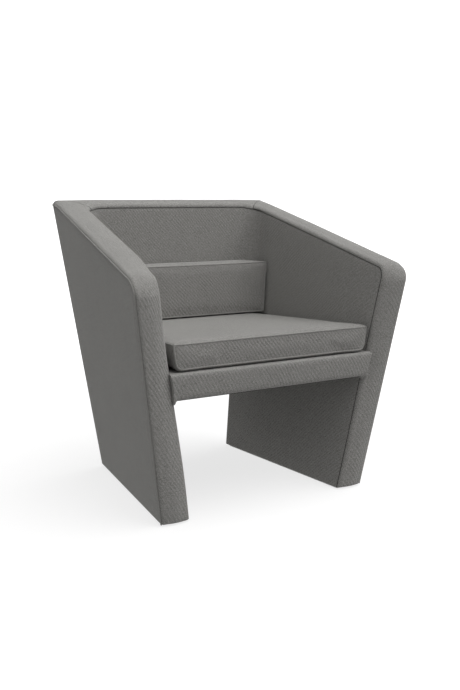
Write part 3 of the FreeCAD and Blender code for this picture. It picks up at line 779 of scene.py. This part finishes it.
def build_seat_base():
    low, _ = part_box("seat_base_cover")
    bottom = low.z
    deck_under = BASE_FRONT_Z - DECK_THICK
    rear = face_y(0.34) - 0.004
    fall = RAKE * (rear - CUSHION_FRONT_Y)
    centre_z = (bottom + BASE_FRONT_Z) / 2.0
    corners = [
        (front_y(bottom), bottom),
        (front_y(BASE_FRONT_Z), BASE_FRONT_Z - 0.0005),
        (rear, BASE_FRONT_Z - fall - 0.001),
        (rear, deck_under - fall),
        (front_y(bottom) + 0.036, deck_under),
        (front_y(bottom) + 0.030, bottom),
    ]
    outline = rounded_outline(corners, (0.004, 0.004, 0.005, 0.004, 0.004, 0.004))
    # The front face is drawn finely enough to swell.
    face = [z for y, z in outline if y < front_y(z) + 0.0005]
    first_arc = OUTLINE_STEPS + 1
    outline[first_arc:first_arc] = [(front_y(z), z) for z in np.linspace(face[0], face[-1], 12)[1:-1]]
    shell = Shell()
    rings = []
    ends = list(np.linspace(RAIL_END_SHARE, 1.0, 14))
    middle = list(np.linspace(-RAIL_END_SHARE, RAIL_END_SHARE, 25))[1:-1]
    for f in [-f for f in reversed(ends)] + middle + ends:
        ring = []
        for y, z in outline:
            wall = side_x(y, z, inner_depth(y, z))
            x = f * (wall + RAIL_BURY)
            swell = ripple = hollow = 0.0
            if y < front_y(z) + 0.01:
                reach = min(1.0, abs(z - centre_z) / RAIL_HALF_HEIGHT)
                swell = RAIL_SWELL * (1.0 - reach ** 6) ** 0.5
                ripple = RAIL_RIPPLE * noise.noise(Vector((x * 16.0, z * 20.0, 4.0)))
            if z < bottom + 0.02:
                near = min(max(1.0 - (wall - abs(x)) / HOLLOW_R, 0.0), 1.0)
                hollow = HOLLOW_R * (1.0 - math.sqrt(1.0 - near ** 2))
            ring.append((x, y - swell + ripple, z - hollow))
        rings.append(shell.add(ring))
    for a, b in zip(rings, rings[1:]):
        shell.bridge(a, b)
    shell.cap(list(reversed(rings[0])))
    shell.cap(rings[-1])
    ob = make_object("seat_base_upholstery", shell, "frame", SHELL_FABRIC)
    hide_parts("seat_base_cover", "seat_deck_pad", "seat_front_foam")


build_seat_base()


# ---------------------------------------------------------------- loose cushion and pad

def evaluated_points(ob):
    graph = bpy.context.evaluated_depsgraph_get()
    shown = ob.evaluated_get(graph)
    mesh = shown.to_mesh()
    co = np.zeros(len(mesh.vertices) * 3)
    mesh.vertices.foreach_get("co", co)
    shown.to_mesh_clear()
    return co.reshape(-1, 3)


def block(name, corners, soft_edges):
    """A closed block of eight corners, with its edges rounded by the amounts in soft_edges."""
    bm = bmesh.new()
    verts = [bm.verts.new(c) for c in corners]
    for face in ((0, 1, 2, 3), (7, 6, 5, 4), (0, 4, 5, 1), (1, 5, 6, 2), (2, 6, 7, 3), (3, 7, 4, 0)):
        bm.faces.new([verts[i] for i in face])
    bmesh.ops.recalc_face_normals(bm, faces=bm.faces)
    for choose, radius, steps in soft_edges:
        edges = [e for e in bm.edges if choose(e)]
        bmesh.ops.bevel(bm, geom=edges, offset=radius, segments=steps, affect="EDGES", profile=0.5)
    mesh = bpy.data.meshes.new(name)
    bm.to_mesh(mesh)
    bm.free()
    ob = bpy.data.objects.new(name, mesh)
    bpy.context.scene.collection.objects.link(ob)
    return ob


def remesh(ob):
    """Turns the block into an even, closed grid that the cloth can work on."""
    mod = ob.modifiers.new("voxels", "REMESH")
    mod.mode = "VOXEL"
    mod.voxel_size = VOXEL
    graph = bpy.context.evaluated_depsgraph_get()
    mesh = bpy.data.meshes.new_from_object(ob.evaluated_get(graph))
    ob.modifiers.clear()
    old = ob.data
    ob.data = mesh
    bpy.data.meshes.remove(old)


def inflate(ob, cap, frames=20):
    """Blows the closed cloth up under pressure, then holds every point within cap of its start."""
    rest = evaluated_points(ob)
    mod = ob.modifiers.new("cloth", "CLOTH")
    settings = mod.settings
    settings.quality = 5
    settings.mass = 0.3
    settings.tension_stiffness = 18.0
    settings.compression_stiffness = 18.0
    settings.shear_stiffness = 8.0
    settings.bending_stiffness = 0.8
    settings.use_pressure = True
    settings.uniform_pressure_force = PRESSURE
    settings.effector_weights.gravity = 0.0
    mod.point_cache.frame_start = 1
    mod.point_cache.frame_end = frames
    scene = bpy.context.scene
    for f in range(1, frames + 1):
        scene.frame_set(f)
    moved = evaluated_points(ob)
    ob.modifiers.clear()
    scene.frame_set(1)
    step = moved - rest
    size = np.linalg.norm(step, axis=1, keepdims=True)
    return rest + step * (cap / (cap + size))


def write_points(ob, co):
    ob.data.vertices.foreach_set("co", co.reshape(-1))
    ob.data.update()


def relax(ob):
    """One light smoothing of the whole mesh."""
    bm = bmesh.new()
    bm.from_mesh(ob.data)
    axes = {"use_axis_x": True, "use_axis_y": True, "use_axis_z": True}
    bmesh.ops.smooth_vert(bm, verts=bm.verts, factor=0.5, **axes)
    bm.to_mesh(ob.data)
    bm.free()


def base_top(y):
    """Height of the raked deck that the cushion lies on."""
    return BASE_FRONT_Z - RAKE * (y - CUSHION_FRONT_Y)


def finish_soft(ob, body, material):
    ob.data.shade_smooth()
    ob.data.materials.append(material)
    sub = ob.modifiers.new("smooth", "SUBSURF")
    sub.levels = 1
    sub.render_levels = 1
    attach(ob, body)


def surface_path(ob, points):
    """The points moved onto the piece's surface, sunk in slightly, and the surface normals there."""
    tree = BVHTree.FromObject(ob, bpy.context.evaluated_depsgraph_get())
    path, normals = [], []
    for p in points:
        hit, normal, _, _ = tree.find_nearest(Vector(p))
        path.append(np.array(hit) - np.array(normal) * SEAM_SINK)
        normals.append(np.array(normal))
    return path, normals


def loop_in_plane(corners, radii):
    """Closed loop of 3-D points through rounded corners, spaced evenly."""
    out = []
    n = len(corners)
    for i in range(n):
        p = np.asarray(corners[i], float)
        a = unit(np.asarray(corners[i - 1], float) - p)
        b = unit(np.asarray(corners[(i + 1) % n], float) - p)
        r = radii[i]
        out.append([p + a * r * (1 - t) ** 2 + b * r * t ** 2 for t in np.linspace(0, 1, 7)])
    path = []
    for i in range(n):
        path.extend(out[i])
        start, end = out[i][-1], out[(i + 1) % n][0]
        count = max(2, int(np.linalg.norm(end - start) / WELT_SPACING))
        path.extend(start + (end - start) * t for t in np.linspace(0, 1, count + 1)[1:-1])
    return path


def smooth_loop(path, passes=3):
    arr = np.array(path)
    for _ in range(passes):
        arr = 0.5 * arr + 0.25 * (np.roll(arr, 1, axis=0) + np.roll(arr, -1, axis=0))
    return list(arr)


def build_cushion():
    front = CUSHION_FRONT_Y + CUSHION_INSET
    rear = face_y(CUSHION_REAR_Z) - CUSHION_REAR_GAP - CUSHION_INSET

    def at(share, y, top):
        z = base_top(y) + (CUSHION_THICK + 0.001 if top else 0.001)
        return (share * (side_x(y, z, SIDE_THICK) - CUSHION_SIDE_GAP - CUSHION_INSET), y, z)

    plan = ((-1, front), (1, front), (1, rear), (-1, rear))
    corners = [at(s, y, t) for t in (False, True) for s, y in plan]

    def runs_back(e, top):
        """Whether an edge is one of the two long side edges at the top, or at the bottom."""
        a, b = e.verts[0].co, e.verts[1].co
        is_top = (a.z + b.z) / 2.0 > base_top((a.y + b.y) / 2.0) + CUSHION_THICK / 2.0
        return abs(a.y - b.y) > 0.3 and is_top == top

    def long_edge(e):
        return e.calc_length() > 0.03 and e.calc_face_angle(0.0) > 0.9

    ob = block("seat_cushion_cover", corners, (
        (lambda e: runs_back(e, False), 0.015, 5),
        (lambda e: runs_back(e, True), 0.005, 3),
        (long_edge, 0.003, 2),
    ))
    remesh(ob)
    co = inflate(ob, CUSHION_CAP)
    limit = side_x(co[:, 1], co[:, 2], SIDE_THICK) - CUSHION_SIDE_GAP + 0.001
    co[:, 0] = np.clip(co[:, 0], -limit, limit)
    co[:, 2] = np.maximum(co[:, 2], base_top(co[:, 1]) + CLEARANCE)
    co[:, 1] = np.clip(co[:, 1], CUSHION_FRONT_Y - 0.002, face_y(CUSHION_REAR_Z) - 0.002)
    is_top = co[:, 2] > base_top(co[:, 1]) + CUSHION_THICK * 0.8
    dome = np.clip(1.0 - (co[:, 0] / 0.26) ** 4, 0.0, 1.0)
    dome *= np.clip(1.0 - ((co[:, 1] + 0.02) / 0.27) ** 4, 0.0, 1.0)
    co[:, 2] += np.where(is_top, 0.001 + CUSHION_DOME * dome, 0.0)
    write_points(ob, co)
    relax(ob)
    finish_soft(ob, "seat_cushion", CUSHION_FABRIC_SHADED)
    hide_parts("cushion_cover", "cushion_foam", "cushion_wrap")

    def face_corner(share, top):
        z = base_top(front) + (CUSHION_THICK - 0.0005 if top else 0.004)
        return (share * (side_x(front, z, SIDE_THICK) - CUSHION_SIDE_GAP - 0.003), CUSHION_FRONT_Y, z)

    outline = [face_corner(s, top) for s, top in ((-1, False), (1, False), (1, True), (-1, True))]
    loop = loop_in_plane(outline, (0.019, 0.019, 0.007, 0.007))
    path, normals = surface_path(ob, loop)
    path = smooth_loop(path)
    welt = sweep("seat_cushion_front_welt", path, normals, FRONT_WELT, "seat_cushion", WELT_FABRIC_HIGHLIT,
                 closed=True)
    for side, s in (("left", -1.0), ("right", 1.0)):
        line = []
        for y in np.linspace(front + 0.004, rear - 0.004, 80):
            z = base_top(y) + CUSHION_THICK - 0.001
            line.append((s * (side_x(y, z, SIDE_THICK) - CUSHION_SIDE_GAP - 0.001), y, z))
        path, normals = surface_path(ob, line)
        seam = sweep(f"seat_cushion_{side}_seam", path, normals, CUSHION_SEAM, "seat_cushion", WELT_FABRIC_HIGHLIT)


def pad_half_width(y, z, outset):
    """Half width that clears the sides and the fillets at the back's corners."""
    straight = side_x(y, z, SIDE_THICK) - PAD_SIDE_GAP + outset
    centre_y = face_y(z) - CORNER_R
    if y <= centre_y:
        return straight
    centre_x = side_x(centre_y, z, SIDE_THICK) - CORNER_R * math.hypot(1.0, TOE)
    reach = CORNER_R - PAD_SIDE_GAP + outset
    bend = centre_x + math.sqrt(max(0.0, reach ** 2 - (y - centre_y) ** 2))
    return min(straight, bend)


def build_pad():
    def at(share, front, top):
        z = PAD_TOP_Z if top else PAD_BOTTOM_Z + PAD_LIFT
        if front:
            y = PAD_FRONT_TOP_Y if top else PAD_FRONT_BOTTOM_Y
        else:
            y = face_y(z) - PAD_REAR_GAP - 0.001
        return (share * pad_half_width(y, z, PAD_OUTSET), y, z)

    plan = ((-1, True), (1, True), (1, False), (-1, False))
    corners = [at(s, f, t) for t in (False, True) for s, f in plan]

    def any_edge(e):
        return e.calc_length() > 0.03

    ob = block("lumbar_pad_cover", corners, ((any_edge, 0.004, 2),))
    remesh(ob)
    co = inflate(ob, PAD_CAP)
    limit = np.array([pad_half_width(y, z, 0.003) for y, z in co[:, 1:]])
    co[:, 0] = np.clip(co[:, 0], -limit, limit)
    co[:, 1] = np.minimum(co[:, 1], face_y(co[:, 2]) - PAD_REAR_GAP)
    cushion_top = base_top(co[:, 1]) + CUSHION_THICK
    co[:, 2] = np.maximum(co[:, 2], cushion_top + PAD_SEAT_GAP)
    write_points(ob, co)
    relax(ob)
    finish_soft(ob, "lumbar_pad", CUSHION_FABRIC_SHADED)
    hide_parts("pad_cover", "pad_foam")

    def face_corner(share, top):
        x, y, z = at(share, True, top)
        return (x, y - 0.002, z)

    outline = [face_corner(s, top) for s, top in ((-1, False), (1, False), (1, True), (-1, True))]
    loop = loop_in_plane(outline, (0.014, 0.014, 0.010, 0.010))
    path, normals = surface_path(ob, loop)
    path = smooth_loop(path)
    welt = sweep("lumbar_pad_front_welt", path, normals, FRONT_WELT, "lumbar_pad", WELT_FABRIC_HIGHLIT, closed=True)


build_cushion()
build_pad()


# ---------------------------------------------------------------- CAD nodes that stay

def dress_nodes():
    """Gives each carried-over node the material of the first word that its name holds."""
    rules = (
        ("glide_strip", GLIDE), ("post", TIMBER), ("rail", TIMBER), ("corner_blocks", TIMBER),
        ("board", BOARD), ("bolts", STEEL), ("nuts", STEEL), ("screws", STEEL), ("webbing", WEBBING),
        ("dust_cover", DUST_CLOTH), ("zip", ZIP_TAPE), ("strips", HOOK_STRIP),
    )
    for name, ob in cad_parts.items():
        for word, mat in rules:
            if word in name:
                ob.data.materials.clear()
                ob.data.materials.append(mat)
                break


dress_nodes()


# ---------------------------------------------------------------- studio

FLOOR_GREY = 0.30
FLOOR_GLOW = 0.74
FLOOR_GLOW_NEAR = 0.8
FLOOR_GLOW_FAR = 2.5
WALL_R = 2.0
FLOOR_R = 6.0
SUN_POWER = 2.8
SUN_ANGLE = math.radians(70.0)
SUN_FROM = (0.34, -0.24, 1.0)
SKY_LOW = (-0.6, 0.46)
SKY_HIGH = (0.4, 0.36)
CAMERA_PLACE = (-1.0771, -1.9135, 0.7461)
CAMERA_TURN = (math.radians(80.081), 0.0, math.radians(-30.206))
CAMERA_LENS = 43.998


def studio_material():
    mat, tree, shader = new_material("studio_white")
    shader.inputs["Base Color"].default_value = (FLOOR_GREY, FLOOR_GREY, FLOOR_GREY, 1.0)
    shader.inputs["Roughness"].default_value = 0.9
    shader.inputs["Specular IOR Level"].default_value = 0.0
    coords = tree.nodes.new("ShaderNodeTexCoord").outputs["Object"]
    length = tree.nodes.new("ShaderNodeVectorMath")
    length.operation = "LENGTH"
    tree.links.new(coords, length.inputs[0])
    reach = tree.nodes.new("ShaderNodeMapRange")
    reach.inputs["From Min"].default_value = FLOOR_GLOW_NEAR
    reach.inputs["From Max"].default_value = FLOOR_GLOW_FAR
    reach.inputs["To Min"].default_value = FLOOR_GLOW
    tree.links.new(length.outputs["Value"], reach.inputs["Value"])
    shader.inputs["Emission Color"].default_value = (1.0, 1.0, 1.0, 1.0)
    tree.links.new(reach.outputs[0], shader.inputs["Emission Strength"])
    return mat


def build_studio():
    profile = [(r, 0.0) for r in (1.0, 2.0, 4.0, FLOOR_R)]
    for q in np.linspace(0.2, math.pi / 2, 8):
        profile.append((FLOOR_R + WALL_R * math.sin(q), WALL_R - WALL_R * math.cos(q)))
    profile += [(FLOOR_R + WALL_R, 5.0), (FLOOR_R + WALL_R, 9.0)]
    shell = Shell()
    rings = []
    for r, z in profile:
        turn = np.linspace(0.0, 2.0 * math.pi, 65)[:-1]
        rings.append(shell.add([(r * math.cos(q), r * math.sin(q), z) for q in turn]))
    for a, b in zip(rings, rings[1:]):
        shell.bridge(a, b)
    shell.cap(rings[0])
    mesh = bpy.data.meshes.new("studio_floor")
    mesh.from_pydata(shell.verts, [], shell.faces)
    ob = bpy.data.objects.new("studio_floor", mesh)
    ob.data.materials.append(studio_material())
    bpy.context.scene.collection.objects.link(ob)
    ob.visible_diffuse = False
    ob.visible_glossy = False
    ob.visible_shadow = False


def build_light():
    sun = bpy.data.lights.new("soft_top_light", "SUN")
    sun.energy = SUN_POWER
    sun.angle = SUN_ANGLE
    ob = bpy.data.objects.new("soft_top_light", sun)
    ob.rotation_euler = Vector(SUN_FROM).to_track_quat("Z", "Y").to_euler()
    bpy.context.scene.collection.objects.link(ob)
    world = bpy.data.worlds.new("studio_world")
    bpy.context.scene.world = world
    world.use_nodes = True
    tree = world.node_tree
    coords = tree.nodes.new("ShaderNodeTexCoord").outputs["Generated"]
    split = tree.nodes.new("ShaderNodeSeparateXYZ")
    tree.links.new(coords, split.inputs[0])
    band = tree.nodes.new("ShaderNodeMapRange")
    band.inputs["From Min"].default_value = SKY_LOW[0]
    band.inputs["From Max"].default_value = SKY_HIGH[0]
    band.inputs["To Min"].default_value = SKY_LOW[1]
    band.inputs["To Max"].default_value = SKY_HIGH[1]
    tree.links.new(split.outputs[2], band.inputs["Value"])
    back = tree.nodes["Background"]
    back.inputs["Color"].default_value = (1.0, 1.0, 1.0, 1.0)
    tree.links.new(band.outputs[0], back.inputs["Strength"])


def build_camera():
    data = bpy.data.cameras.new("camera")
    data.lens = CAMERA_LENS
    data.sensor_width = 36.0
    ob = bpy.data.objects.new("camera", data)
    ob.location = CAMERA_PLACE
    ob.rotation_euler = Euler(CAMERA_TURN)
    bpy.context.scene.collection.objects.link(ob)
    bpy.context.scene.camera = ob


build_studio()
build_light()
build_camera()
bpy.context.scene.view_settings.view_transform = "Standard"
